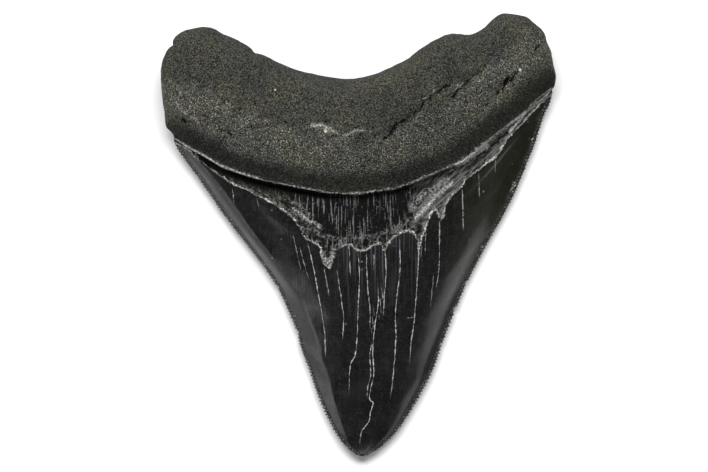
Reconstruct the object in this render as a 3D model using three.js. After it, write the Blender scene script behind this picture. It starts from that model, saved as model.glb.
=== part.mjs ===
// A fossil megalodon tooth, lying on its flat labial face with the domed lingual face up.
// Millimetres, +Z up. The tip points along -Y and the root's two lobes along +Y, and the
// origin is the middle of the tooth's footprint on the surface that it lies on.
// The tooth is one piece: the root, the recessed band under it and the enamel crown grew
// together, so it is a single closed mesh of two sheets that share the tooth's outline.
import * as THREE from "three";

// Driving dimensions.
const TIP_Z = 3.4; // the tip's height over the surface
const BLADE_Z = 2.5; // the cutting edge's height over the surface, halfway up the crown
const SHOULDER_Z = 3.8; // its height where the blade ends
const ROOT_FOOT_Z = 5; // the outline's height where the root's side begins
const LOBE_Z = 8.5; // the outline's height round the root's lobes
const CROWN_TOP_Z = 15.6; // the dome's height at the enamel's upper edge
const BAND_TOP_Z = 16.8; // the recessed band's height under the root's rim
const ROOT_TOP_Z = 25; // the root's greatest thickness
const LOBE_TOP_Z = 16.2; // the thickness of the two lobes
const CREST = 0.52; // where the root is thickest, as a share of the way from its rim to its top
const BASAL_DROP = 3.2; // how far its back falls from there before it rounds over
const BASAL_ROUND = 0.22; // the share of the way that the rounding takes
const BASAL_RISE = 2; // how much higher the root's notch sits than its lobes
const RIM_STEP = 1.8; // the ledge where the root stands over the band
const ENAMEL_STEP = 0.4; // the enamel's thickness at its upper edge
const LABIAL_LIFT = 0.45; // how far the labial face stays clear of the surface
const CROWN_SPOT = 0.6; // how far its bearing spot under the crown swells before it is worn flat
const LOBE_SPOT = 0.85; // and the two under the lobes
const SERRATION_PITCH = 0.87;
const SERRATION_DEPTH = 0.6;
const LUMP = 0.4; // height of the root's soft lumps
const TIP_BEVEL = [0.6, 0.7]; // where the bevel along each edge, left and right, starts at the tip
const BASE_BEVEL = [0.87, 0.92]; // and where it starts at the enamel's upper edge
const TIP_SLOPE = [1.75, 1.5]; // the bevel's slopes at the tip, against the dome's height
const BASE_SLOPE = [2.5, 0.9]; // and at the enamel's upper edge
const HEEL_HOLLOW = 0.8; // how much the flanks flatten towards the thin heels of the blade

// How the surfaces bend, as powers of, and shares of, the way along or across.
const TIP_FALL = 8; // how soon the cutting edge drops away from the tip
const FACE_FALL = 6; // and the labial face under it
const SHOULDER_RISE = 6; // how late the edge rises towards the shoulders
const LOBE_START = 0.6; // how far up the root its outline reaches the lobes' height
const NOTCH_WIDTH = 0.6; // how much of the root's width its notch takes
const RIDGE_LEVEL = 1.2; // how much the crown's ridge levels out on its way up
const RIDGE_START = 0.88; // and how soon it rises from the tip
const HEEL_FROM = 0.5; // where on the crown the flanks begin to flatten
const HEEL_TO = 1.05; // and where they are flattest
const BAND_FILL = 8; // how near the band's recess comes to the sides
const RIM_FILL = 6; // how near the rim's ledge does
const RELIEF_FILL = 4; // and the root's lumps and hollows
const ROOT_FILL = 10; // how squarely the root's section fills out to its sides
const BLADE_FILL = 2.2; // and the labial face of the crown
const BASAL_FILL = 2.2; // how squarely the root rounds over at its top
const DROP_BEND = 1.5; // how late its back falls
const CREST_WIDTH = 0.55; // how far to the sides the root's greatest thickness reaches
const ROLL_START = 0.8; // how soon the root swells over its rim
const CROWN_SPOT_AT = { rise: 0.62, long: 0.28, wide: 0.35 };
const LOBE_SPOT_AT = { side: 0.62, wide: 0.18, up: 0.4, long: 0.24 };

// The root's soft lumps are crossing waves: radians per millimetre along x and y, and a phase.
const LUMP_WAVES = [
  { share: 0.35, x: 0.31, y: 0.27, phase: 0.9 },
  { share: 0.25, x: 0.31, y: -0.24, phase: 2.6 },
  { share: 0.25, x: 0.62, y: -0.35, phase: 2.1 },
  { share: 0.15, x: 0.5, y: 0.83, phase: 0 },
];

// Hollows and cracks sunk into the root: their ends, half width and depth.
const ROOT_HOLLOWS = [
  { from: [-44, 27], to: [-42, 28.2], reach: 1.7, depth: 1 },
  { from: [-40, 30.2], to: [-31.5, 24.6], reach: 1.2, depth: 0.5 },
  { from: [-8.6, 27.8], to: [-7.4, 28], reach: 1.5, depth: 0.7 },
  { from: [6.8, 24.6], to: [24.2, 38.6], reach: 1.2, depth: 0.6 },
  { from: [22.8, 34], to: [31.2, 41.2], reach: 1.2, depth: 0.6 },
  { from: [34.8, 35.4], to: [38.2, 39], reach: 1.6, depth: 1 },
  { from: [39.2, 40.6], to: [44.6, 46.8], reach: 1.2, depth: 0.6 },
  { from: [-33.4, 33], to: [-33, 33.1], reach: 1.3, depth: 0.6 },
  { from: [-26, 32.6], to: [-25.6, 32.7], reach: 1.3, depth: 0.5 },
];

// The mesh: columns run from the left edge to the right, rows from the tip to the root's top.
const COLUMNS = 46;
const CROWN_ROWS = 22;
const BAND_ROWS = [1.02, 1.3, 1.65, 1.97];
const ROOT_ROWS = [
  2, 2.03, 2.08, 2.15, 2.24, 2.34, 2.45, 2.56, 2.67, 2.77, 2.85, 2.91, 2.955, 2.985, 3,
];
const COLUMN_CROWDING = 0.45; // 0 spaces the columns evenly, 1 crowds them towards the edges
const ROW_CROWDING = 1.15; // above 1, the crown's rows crowd towards the tip
const NOTCH_SHARE = 0.6; // how much of a serration's depth lies inside the outline
const SMALL_RISE = 0.002;

// The outline, as stretches between the corners where its character changes.
const TIP = [[-0.55, -54.75], [1, -55.25], [2.35, -54.9]];
const LEFT_BLADE = [
  [-0.55, -54.75], [-2.5, -53.2], [-5.5, -49.4], [-8.2, -44.2], [-10.5, -38.7], [-12.2, -33.5],
  [-14.3, -28], [-15.3, -24], [-17.8, -17.9], [-19.8, -13.5], [-21.9, -10], [-27, -3.1],
  [-32.5, 4], [-37, 10.4], [-40.7, 15.8], [-44, 20.2], [-45.4, 22.3], [-46, 23.4],
];
const RIGHT_BLADE = [
  [2.35, -54.9], [6, -52.4], [9.8, -48.6], [13.3, -43.4], [16.7, -37.5], [18.7, -33.5],
  [20.8, -27.6], [22.4, -23.2], [24.5, -18.1], [25.9, -14.6], [27.4, -11.2], [30, -6.1],
  [33.5, 0.4], [36.8, 6.2], [39.7, 12.1],
  [42.9, 20], [44.2, 23.3], [45.8, 28.3], [46.8, 31.2], [47.7, 32.9], [48.7, 35.8],
];
const LEFT_GAP = [[-46, 23.4], [-46.2, 24.2]];
const RIGHT_GAP = [[48.7, 35.8], [48.5, 36.7]];
const LEFT_LOBE = [
  [-46.2, 24.2], [-46.3, 25], [-46.9, 26], [-48, 27.3], [-48.3, 29.8], [-49, 35.7],
  [-49.2, 41.4], [-48.6, 44.3], [-47.2, 46.8], [-46.2, 47.2], [-46.1, 48.7], [-45.5, 49.8],
];
const RIGHT_LOBE = [
  [48.5, 36.7], [49, 37.3], [49.4, 39.5], [48.6, 43.2], [48.1, 45.9], [47.1, 48.4],
  [46.5, 50.4], [45.8, 51.6],
];
const BASAL = [
  [-45.5, 49.8], [-43.2, 51.2], [-39.7, 52.1], [-37.3, 52], [-35.6, 51.5], [-34.1, 50.6],
  [-30.7, 49.2], [-26.8, 46.8], [-25.9, 45.6], [-23.6, 45], [-17.6, 42.3], [-10.5, 40.2],
  [-4.8, 39.3], [-1.9, 39.1], [2.9, 40], [8, 42], [12.8, 44.5], [17.9, 48.3], [21.6, 50.1],
  [23.3, 50.5], [28.1, 50.3], [30.5, 51.2], [32.9, 53.4], [35.8, 55.3], [41.8, 54.7],
  [43.1, 53.7], [45.8, 51.6],
];
// Chips in the cutting edges: each one's place, depth and half width.
const CHIPS = [
  { at: [24.4, -18.4], depth: 0.8, reach: 0.7 },
  { at: [27.2, -11.7], depth: 0.45, reach: 0.5 },
  { at: [21, -27.2], depth: 0.4, reach: 0.4 },
  { at: [-20.2, -12.8], depth: 0.4, reach: 0.4 },
  { at: [-15.2, -24.2], depth: 0.45, reach: 0.5 },
];
// On the lingual face, the enamel's upper edge and the rim of the root above it.
const ENAMEL_EDGE = [
  [-46, 23.4], [-36.5, 16.6], [-25.5, 9.6], [-15.5, 2.6], [-7.5, -2.4], [-1, -3.7],
  [5.5, -2.8], [13, 0.7], [23, 8.6], [32.2, 17.6], [41.2, 28], [48.7, 35.8],
];
const ROOT_RIM = [
  [-46.2, 24.2], [-42, 21.9], [-38.2, 19.7], [-34, 17.1], [-29.5, 15.5], [-24, 13.8],
  [-18.5, 12.6], [-13.5, 11.6], [-8.5, 10.7], [-3.5, 10.4], [0.5, 10.4], [4.8, 11.1],
  [9, 11.7], [13, 13], [17.5, 14.9], [22, 16.8], [26, 18.6], [30, 21.7], [35.2, 26.1],
  [41, 30.2], [45, 34.4], [48.5, 36.7],
];

const { lerp, smoothstep } = THREE.MathUtils;
const bell = (x, middle, spread) => Math.exp(-(((x - middle) / spread) ** 2));

function curveThrough(points) {
  const curve = new THREE.CatmullRomCurve3(points.map(([x, y]) => new THREE.Vector3(x, y, 0)));
  curve.curveType = "centripetal";
  curve.arcLengthDivisions = 600;
  return curve;
}

// A zone is the part of the outline between two cross lines. Its points are blended from its
// four sides, so that its rows bend from the lower line's shape into the upper line's.
function zoneBetween(lower, upper, left, right) {
  const [low, high, west, east] = [lower, upper, left, right].map(curveThrough);
  return (across, up) => {
    const mixed = low.getPointAt(across).lerp(high.getPointAt(across), up);
    const sides = west.getPointAt(up).lerp(east.getPointAt(up), across);
    const corners = low.getPointAt(0).lerp(high.getPointAt(0), up);
    corners.lerp(low.getPointAt(1).lerp(high.getPointAt(1), up), across);
    return mixed.add(sides).sub(corners);
  };
}

const ZONES = [
  zoneBetween(TIP, ENAMEL_EDGE, LEFT_BLADE, RIGHT_BLADE),
  zoneBetween(ENAMEL_EDGE, ROOT_RIM, LEFT_GAP, RIGHT_GAP),
  zoneBetween(ROOT_RIM, BASAL, LEFT_LOBE, RIGHT_LOBE),
];

// The place in plan of side (-1 at the left edge, 1 at the right) and rise: 0 at the tip,
// 1 at the enamel's edge, 2 at the root's rim and 3 at the root's top.
function placeAt(side, rise) {
  const zone = Math.min(Math.floor(rise), ZONES.length - 1);
  return ZONES[zone]((side + 1) / 2, rise - zone);
}

// Heights are in terms of side and rise.
const share = (rise, zone) => Math.min(Math.max(rise - zone, 0), 1);

function outlineZ(side, rise) {
  const crown = share(rise, 0);
  const root = smoothstep(share(rise, 2), 0, LOBE_START);
  const blade = BLADE_Z + (TIP_Z - BLADE_Z) * (1 - crown) ** TIP_FALL;
  const shoulder = (SHOULDER_Z - BLADE_Z) * crown ** SHOULDER_RISE;
  const foot = (ROOT_FOOT_Z - SHOULDER_Z) * share(rise, 1);
  const notch = BASAL_RISE * share(rise, 2) * Math.max(1 - (side / NOTCH_WIDTH) ** 2, 0);
  return blade + shoulder + foot + (LOBE_Z - ROOT_FOOT_Z) * root + notch;
}

// The crown's section: a bevel rises evenly from each cutting edge, and a dome joins the two.
function dome(side, rise) {
  const edge = side < 0 ? 0 : 1;
  const start = lerp(TIP_BEVEL[edge], BASE_BEVEL[edge], share(rise, 0));
  const slope = lerp(TIP_SLOPE[edge], BASE_SLOPE[edge], share(rise, 0));
  const inward = Math.abs(side) / start;
  if (inward > 1) return slope * (1 - Math.abs(side));
  const hollow = 1 + HEEL_HOLLOW * smoothstep(rise, HEEL_FROM, HEEL_TO);
  return lerp(slope * (1 - start), 1, (1 - inward ** 2) ** hollow);
}

// The root's swollen section, which is full nearly to its sides.
const swell = (side) => Math.sqrt(1 - Math.abs(side) ** ROOT_FILL);

function basalRound(rise) {
  const over = Math.max((share(rise, 2) - 1) / BASAL_ROUND + 1, 0);
  return Math.sqrt(1 - over ** BASAL_FILL);
}

function hollows({ x, y }) {
  return ROOT_HOLLOWS.reduce((deepest, { from, to, reach, depth }) => {
    const [dx, dy] = [to[0] - from[0], to[1] - from[1]];
    const along = ((x - from[0]) * dx + (y - from[1]) * dy) / (dx * dx + dy * dy);
    const nearest = Math.min(Math.max(along, 0), 1);
    const away = Math.hypot(x - from[0] - nearest * dx, y - from[1] - nearest * dy);
    return Math.max(deepest, depth * bell(away, 0, reach));
  }, 0);
}

function lumps({ x, y }) {
  const waves = LUMP_WAVES.map((wave) => wave.share * Math.sin(wave.x * x + wave.y * y + wave.phase));
  return waves.reduce((sum, wave) => sum + wave);
}

function lingualZ(side, rise, place) {
  const edge = outlineZ(side, rise);
  if (rise < 2) {
    const crown = (1 - (1 - share(rise, 0)) ** RIDGE_LEVEL) ** RIDGE_START;
    const top = lerp(TIP_Z, CROWN_TOP_Z, crown) + (BAND_TOP_Z - CROWN_TOP_Z) * share(rise, 1);
    const base = edge + (top - edge) * dome(side, rise);
    const inBand = smoothstep(rise, 1, BAND_ROWS[0]) * (1 - side ** BAND_FILL);
    return base - ENAMEL_STEP * inBand;
  }
  const up = share(rise, 2);
  const rim = edge + (BAND_TOP_Z - edge) * dome(side, rise) + RIM_STEP * (1 - side ** RIM_FILL);
  const drop = BASAL_DROP * Math.max((up - CREST) / (1 - CREST), 0) ** DROP_BEND;
  const crest = LOBE_TOP_Z + (ROOT_TOP_Z - drop - LOBE_TOP_Z) * bell(side, 0, CREST_WIDTH);
  const full = edge + (crest - edge) * swell(side);
  const rollOver = ((1 - Math.cos(Math.PI * Math.min(up / CREST, 1))) / 2) ** ROLL_START;
  const relief = (LUMP * lumps(place) - hollows(place)) * rollOver * (1 - side ** RELIEF_FILL);
  return edge + (lerp(rim, full, rollOver) + relief - edge) * basalRound(rise);
}

function labialZ(side, rise) {
  const edge = outlineZ(side, rise);
  const up = share(rise, 2);
  const rootness = smoothstep(rise, 1, 2.2);
  const tipRise = (TIP_Z - LABIAL_LIFT) * (1 - share(rise, 0)) ** FACE_FALL;
  const underCrown = bell(rise, CROWN_SPOT_AT.rise, CROWN_SPOT_AT.long) * bell(side, 0, CROWN_SPOT_AT.wide);
  const underSides = bell(Math.abs(side), LOBE_SPOT_AT.side, LOBE_SPOT_AT.wide);
  const underLobes = underSides * bell(up, LOBE_SPOT_AT.up, LOBE_SPOT_AT.long) * share(rise, 1);
  const face = LABIAL_LIFT + tipRise - CROWN_SPOT * underCrown - LOBE_SPOT * underLobes;
  const blade = 1 - Math.abs(side) ** BLADE_FILL;
  const section = lerp(blade, swell(side), rootness) * basalRound(rise);
  return Math.max(edge - (edge - face) * section, 0);
}

// Rows and columns of the mesh.
const crownRise = (row) => (row / CROWN_ROWS) ** ROW_CROWDING;
const ROWS = [
  ...Array.from({ length: CROWN_ROWS + 1 }, (_, row) => crownRise(row)),
  ...BAND_ROWS,
  ...ROOT_ROWS,
];
ROWS.splice(1, 0, crownRise(1) / 3);

function sideOfColumn(column) {
  const even = (2 * column) / COLUMNS - 1;
  return lerp(even, Math.sin((Math.PI * even) / 2), COLUMN_CROWDING);
}

const positions = [];
const triangles = [];

function addVertex(place, z) {
  positions.push(place.x, place.y, z);
  return positions.length / 3 - 1;
}

function chipDepth({ x, y }) {
  const depths = CHIPS.map(({ at, depth, reach }) => {
    return depth * bell(Math.hypot(x - at[0], y - at[1]), 0, reach);
  });
  return Math.max(...depths);
}

// The cutting edge between two rows: its serrations are vertices set in turn inside and
// outside the outline.
function serratedEdge(side, from, to) {
  const length = placeAt(side, from).distanceTo(placeAt(side, to));
  const teeth = Math.max(Math.round(length / SERRATION_PITCH), 1);
  const vertices = [];
  for (let step = 1; step < 2 * teeth; step++) {
    const rise = lerp(from, to, step / (2 * teeth));
    const place = placeAt(side, rise);
    const ahead = placeAt(side, Math.min(rise + SMALL_RISE, 1));
    ahead.sub(placeAt(side, rise - SMALL_RISE));
    const outward = new THREE.Vector3(ahead.y, -ahead.x, 0).normalize().multiplyScalar(side);
    const serration = SERRATION_DEPTH * (step % 2 ? -NOTCH_SHARE : 1 - NOTCH_SHARE);
    place.addScaledVector(outward, serration - chipDepth(place));
    vertices.push({ rise, id: addVertex(place, outlineZ(side, rise)) });
  }
  return vertices;
}

// Every vertex on the outline is shared by the two sheets.
const outline = new Map();
function outlineColumn(side) {
  return ROWS.flatMap((rise, row) => {
    const here = { rise, id: addVertex(placeAt(side, rise), outlineZ(side, rise)) };
    const next = ROWS[row + 1];
    return next <= 1 ? [here, ...serratedEdge(side, rise, next)] : [here];
  });
}

function sheetColumn(column, heightAt) {
  const side = sideOfColumn(column);
  return ROWS.map((rise, row) => {
    const key = `${column} ${rise}`;
    const onOutline = row === 0 || row === ROWS.length - 1;
    if (onOutline && outline.has(key)) return outline.get(key);
    const place = placeAt(side, rise);
    const z = onOutline ? outlineZ(side, rise) : heightAt(side, rise, place);
    const vertex = { rise, id: addVertex(place, z) };
    if (onOutline) outline.set(key, vertex);
    return vertex;
  });
}

// Joins two columns of vertices with triangles, whatever their numbers of vertices.
function joinColumns(left, right, faceUp) {
  let [a, b] = [0, 0];
  while (a < left.length - 1 || b < right.length - 1) {
    const stepLeft =
      b === right.length - 1 ||
      (a < left.length - 1 && left[a + 1].rise <= right[b + 1].rise);
    const third = stepLeft ? left[a + 1].id : right[b + 1].id;
    const corners = [left[a].id, right[b].id, third];
    triangles.push(...(faceUp ? corners : corners.reverse()));
    if (stepLeft) a++;
    else b++;
  }
}

const leftEdge = outlineColumn(-1);
const rightEdge = outlineColumn(1);
for (const [heightAt, faceUp] of [[lingualZ, true], [labialZ, false]]) {
  let previous = leftEdge;
  for (let column = 1; column < COLUMNS; column++) {
    const next = sheetColumn(column, heightAt);
    joinColumns(previous, next, faceUp);
    previous = next;
  }
  joinColumns(previous, rightEdge, faceUp);
}

const geometry = new THREE.BufferGeometry();
geometry.setAttribute("position", new THREE.Float32BufferAttribute(positions, 3));
geometry.setIndex(triangles);
geometry.computeBoundingBox();
const middle = geometry.boundingBox.getCenter(new THREE.Vector3());
geometry.translate(-middle.x, -middle.y, 0);
geometry.computeVertexNormals();

// Fossil black: the enamel's dark grey, with a dull sheen.
const fossil = new THREE.MeshStandardMaterial({ color: 0x33332f, roughness: 0.5, metalness: 0 });

const part = new THREE.Group();
const tooth = new THREE.Mesh(geometry, fossil);
tooth.name = "tooth";
part.add(tooth);

export default part;
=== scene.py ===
"""Dresses the fossil megalodon tooth: a fine mesh in place of the plain solid, its fossil
surface, a pale floor and soft studio light, seen from straight above."""
import itertools
import math

import bpy
import numpy as np
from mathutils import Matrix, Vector


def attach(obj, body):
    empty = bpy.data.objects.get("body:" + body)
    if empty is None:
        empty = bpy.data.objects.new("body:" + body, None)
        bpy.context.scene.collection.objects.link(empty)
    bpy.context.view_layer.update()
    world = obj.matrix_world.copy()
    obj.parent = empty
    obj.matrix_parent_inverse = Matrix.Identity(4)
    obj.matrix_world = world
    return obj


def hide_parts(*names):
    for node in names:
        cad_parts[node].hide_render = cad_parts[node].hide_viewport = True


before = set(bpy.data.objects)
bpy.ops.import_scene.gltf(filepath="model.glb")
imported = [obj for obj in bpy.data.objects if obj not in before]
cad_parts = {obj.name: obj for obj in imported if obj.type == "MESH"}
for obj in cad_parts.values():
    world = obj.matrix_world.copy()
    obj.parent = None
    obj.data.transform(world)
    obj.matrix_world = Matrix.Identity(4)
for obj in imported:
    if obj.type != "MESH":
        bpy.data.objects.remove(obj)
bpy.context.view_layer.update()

MM = 0.001
SEED = 7

# Driving dimensions in millimetres, as the solid has them.
TIP_Z = 3.4  # the tip's height over the floor
BLADE_Z = 2.5  # the cutting edge's height, halfway up the crown
SHOULDER_Z = 3.8  # its height where the blade ends
ROOT_FOOT_Z = 5.0  # the outline's height where the root's side begins
LOBE_Z = 8.5  # the outline's height round the root's lobes
CROWN_TOP_Z = 15.6  # the dome's height at the enamel's upper edge
BAND_TOP_Z = 16.8  # the recessed band's height under the root's rim
ROOT_TOP_Z = 25.0  # the root's greatest thickness
LOBE_TOP_Z = 16.2  # the thickness of the two lobes
CREST = 0.52  # where the root is thickest, as a share of the way from its rim to its top
BASAL_DROP = 3.2  # how far its back falls from there before it rounds over
BASAL_ROUND = 0.22  # the share of the way that the rounding takes
BASAL_RISE = 2.0  # how much higher the root's notch sits than its lobes
RIM_STEP = 1.8  # the ledge where the root stands over the band
ENAMEL_STEP = 0.4  # the enamel's thickness at its upper edge
LABIAL_LIFT = 0.45  # how far the labial face stays clear of the floor
CROWN_SPOT = 0.6  # how far its bearing spot under the crown swells before it is worn flat
LOBE_SPOT = 0.85  # and the two under the lobes
SERRATION_PITCH = 0.87
SERRATION_DEPTH = 0.6
SERRATION_REACH = 0.9  # how far the serrations reach in from the edge
PITCH_SPREAD = (0.8, 1.2)  # the least and the greatest pitch against the usual one
SIZE_SPREAD = (0.6, 1.4)  # and the knobs' sizes
KNOB_LEVEL = 0.6  # how much of a knob's lift lies inside the outline
TIP_FADE = (0.004, 0.03)  # where along the edge the serrations begin and are full
SHOULDER_FADE = (0.975, 1)  # and where they fade out
SPARE_KNOBS = 20  # beyond what the usual pitch needs
LUMP = 0.4  # height of the root's soft lumps
TIP_BEVEL = (0.6, 0.7)  # where the bevel along each edge, left and right, starts at the tip
BASE_BEVEL = (0.87, 0.92)  # and where it starts at the enamel's upper edge
TIP_SLOPE = (1.75, 1.5)  # the bevel's slopes at the tip, against the dome's height
BASE_SLOPE = (2.5, 0.9)  # and at the enamel's upper edge
HEEL_HOLLOW = 0.8  # how much the flanks flatten towards the thin heels of the blade
CORNER = (0.015, 0.07)  # how far the bevel's inner corner is softened, at the tip and up there

# How the surfaces bend, as powers of, and shares of, the way along or across.
TIP_FALL = 8  # how soon the cutting edge drops away from the tip
FACE_FALL = 6  # and the labial face under it
SHOULDER_RISE = 6  # how late the edge rises towards the shoulders
LOBE_START = 0.6  # how far up the root its outline reaches the lobes' height
NOTCH_WIDTH = 0.6  # how much of the root's width its notch takes
RIDGE_LEVEL = 1.2  # how much the crown's ridge levels out on its way up
RIDGE_START = 0.88  # and how soon it rises from the tip
HEEL_FROM = 0.5  # where on the crown the flanks begin to flatten
HEEL_TO = 1.05  # and where they are flattest
BAND_FILL = 8  # how near the band's recess comes to the sides
RIM_FILL = 6  # how near the rim's ledge does
RELIEF_FILL = 4  # and the root's lumps and hollows
ROOT_FILL = 10  # how squarely the root's section fills out to its sides
BLADE_FILL = 2.2  # and the labial face of the crown
BASAL_FILL = 2.2  # how squarely the root rounds over at its top
DROP_BEND = 1.5  # how late its back falls
CREST_WIDTH = 0.55  # how far to the sides the root's greatest thickness reaches
ROLL_START = 0.8  # how soon the root swells over its rim
# The bearing spots' middles and reaches, up the crown or the root, and across.
CROWN_SPOT_AT = ((0.62, 0.28), (0, 0.35))
LOBE_SPOT_AT = ((0.4, 0.24), (0.62, 0.18))

# The root's soft lumps are crossing waves: share, radians per millimetre along x and y, phase.
LUMP_WAVES = (
    (0.35, 0.31, 0.27, 0.9),
    (0.25, 0.31, -0.24, 2.6),
    (0.25, 0.62, -0.35, 2.1),
    (0.15, 0.5, 0.83, 0.0),
)

# Hollows and cracks sunk into the root: from, to, half width and depth.
ROOT_HOLLOWS = (
    (((-44, 27), (-42, 28.2)), 1.7, 1.0),
    (((-40, 30.2), (-31.5, 24.6)), 1.2, 0.5),
    (((-8.6, 27.8), (-7.4, 28)), 1.5, 0.7),
    (((6.8, 24.6), (24.2, 38.6)), 1.2, 0.6),
    (((22.8, 34), (31.2, 41.2)), 1.2, 0.6),
    (((34.8, 35.4), (38.2, 39)), 1.6, 1.0),
    (((39.2, 40.6), (44.6, 46.8)), 1.2, 0.6),
    (((-33.4, 33), (-33, 33.1)), 1.3, 0.6),
    (((-26, 32.6), (-25.6, 32.7)), 1.3, 0.5),
)

# The outline, as stretches between the corners where its character changes.
TIP = ((-0.55, -54.75), (1, -55.25), (2.35, -54.9))
LEFT_BLADE = (
    (-0.55, -54.75), (-2.5, -53.2), (-5.5, -49.4), (-8.2, -44.2), (-10.5, -38.7), (-12.2, -33.5),
    (-14.3, -28), (-15.3, -24), (-17.8, -17.9), (-19.8, -13.5), (-21.9, -10), (-27, -3.1),
    (-32.5, 4), (-37, 10.4), (-40.7, 15.8), (-44, 20.2), (-45.4, 22.3), (-46, 23.4),
)
RIGHT_BLADE = (
    (2.35, -54.9), (6, -52.4), (9.8, -48.6), (13.3, -43.4), (16.7, -37.5), (18.7, -33.5),
    (20.8, -27.6), (22.4, -23.2), (24.5, -18.1), (25.9, -14.6), (27.4, -11.2), (30, -6.1),
    (33.5, 0.4), (36.8, 6.2), (39.7, 12.1), (42.9, 20), (44.2, 23.3), (45.8, 28.3),
    (46.8, 31.2), (47.7, 32.9), (48.7, 35.8),
)
LEFT_GAP = ((-46, 23.4), (-46.2, 24.2))
RIGHT_GAP = ((48.7, 35.8), (48.5, 36.7))
LEFT_LOBE = (
    (-46.2, 24.2), (-46.3, 25), (-46.9, 26), (-48, 27.3), (-48.3, 29.8), (-49, 35.7),
    (-49.2, 41.4), (-48.6, 44.3), (-47.2, 46.8), (-46.2, 47.2), (-46.1, 48.7), (-45.5, 49.8),
)
RIGHT_LOBE = (
    (48.5, 36.7), (49, 37.3), (49.4, 39.5), (48.6, 43.2), (48.1, 45.9), (47.1, 48.4),
    (46.5, 50.4), (45.8, 51.6),
)
BASAL = (
    (-45.5, 49.8), (-43.2, 51.2), (-39.7, 52.1), (-37.3, 52), (-35.6, 51.5), (-34.1, 50.6),
    (-30.7, 49.2), (-26.8, 46.8), (-25.9, 45.6), (-23.6, 45), (-17.6, 42.3), (-10.5, 40.2),
    (-4.8, 39.3), (-1.9, 39.1), (2.9, 40), (8, 42), (12.8, 44.5), (17.9, 48.3), (21.6, 50.1),
    (23.3, 50.5), (28.1, 50.3), (30.5, 51.2), (32.9, 53.4), (35.8, 55.3), (41.8, 54.7),
    (43.1, 53.7), (45.8, 51.6),
)
ENAMEL_EDGE = (
    (-46, 23.4), (-36.5, 16.6), (-25.5, 9.6), (-15.5, 2.6), (-7.5, -2.4), (-1, -3.7),
    (5.5, -2.8), (13, 0.7), (23, 8.6), (32.2, 17.6), (41.2, 28), (48.7, 35.8),
)
ROOT_RIM = (
    (-46.2, 24.2), (-42, 21.9), (-38.2, 19.7), (-34, 17.1), (-29.5, 15.5), (-24, 13.8),
    (-18.5, 12.6), (-13.5, 11.6), (-8.5, 10.7), (-3.5, 10.4), (0.5, 10.4), (4.8, 11.1),
    (9, 11.7), (13, 13), (17.5, 14.9), (22, 16.8), (26, 18.6), (30, 21.7), (35.2, 26.1),
    (41, 30.2), (45, 34.4), (48.5, 36.7),
)
# Chips in the cutting edges: each one's place, depth and half width.
CHIPS = (
    ((24.4, -18.4), 0.8, 0.7),
    ((27.2, -11.7), 0.45, 0.5),
    ((21, -27.2), 0.4, 0.4),
    ((-20.2, -12.8), 0.4, 0.4),
    ((-15.2, -24.2), 0.45, 0.5),
)

# Fine features. The enamel's ragged upper edge on the lingual face, with its tongues.
RAGGED_ENAMEL = (
    (-46, 23.4), (-43.7, 22.2), (-41, 20), (-38, 17.6), (-35, 15.5), (-30.5, 12.6), (-28, 11.6),
    (-25.3, 10.1), (-22.9, 9.2), (-20.3, 7.6), (-17.9, 5.9), (-15.9, 4.2), (-14.5, 2.2),
    (-13.2, -0.5), (-11.2, -1.5), (-9.5, -2.6), (-9, -4.5), (-8.5, -6.8), (-7.2, -8.1),
    (-6.5, -5.8), (-5.9, -3.5), (-5, -3), (-3.5, -2.2), (-2.1, -1.9), (-0.3, -3.5), (2, -3.5),
    (4.1, -1.9), (5.6, -2), (6.3, -3.9), (7.2, -2.2), (8.5, -0.4), (10.4, 0.8), (12.5, 1.4),
    (13.7, 0.9), (14.6, -0.4), (15.1, -4.2), (15.5, -0.8), (16.6, 1.5), (17.5, 4.6),
    (18.2, 6.1), (19.3, 6.7), (20, 5), (20.6, 3.5), (21.1, 5), (21.7, 8), (23.3, 10.2),
    (25.5, 12), (26.6, 14), (29.2, 15.9), (32.1, 18.2), (34.5, 19.9), (37.2, 24.1),
    (41.3, 28.5), (44.2, 31.8), (46.5, 34), (48.7, 35.8),
)
LABIAL_ENAMEL = (
    (-46, 23.4), (-38, 22.6), (-29, 21.6), (-18, 19.2), (-8, 17.6), (2, 17.6), (12, 19.4),
    (23, 23.4), (34, 28.6), (42, 32.6), (48.7, 35.8),
)
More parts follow.
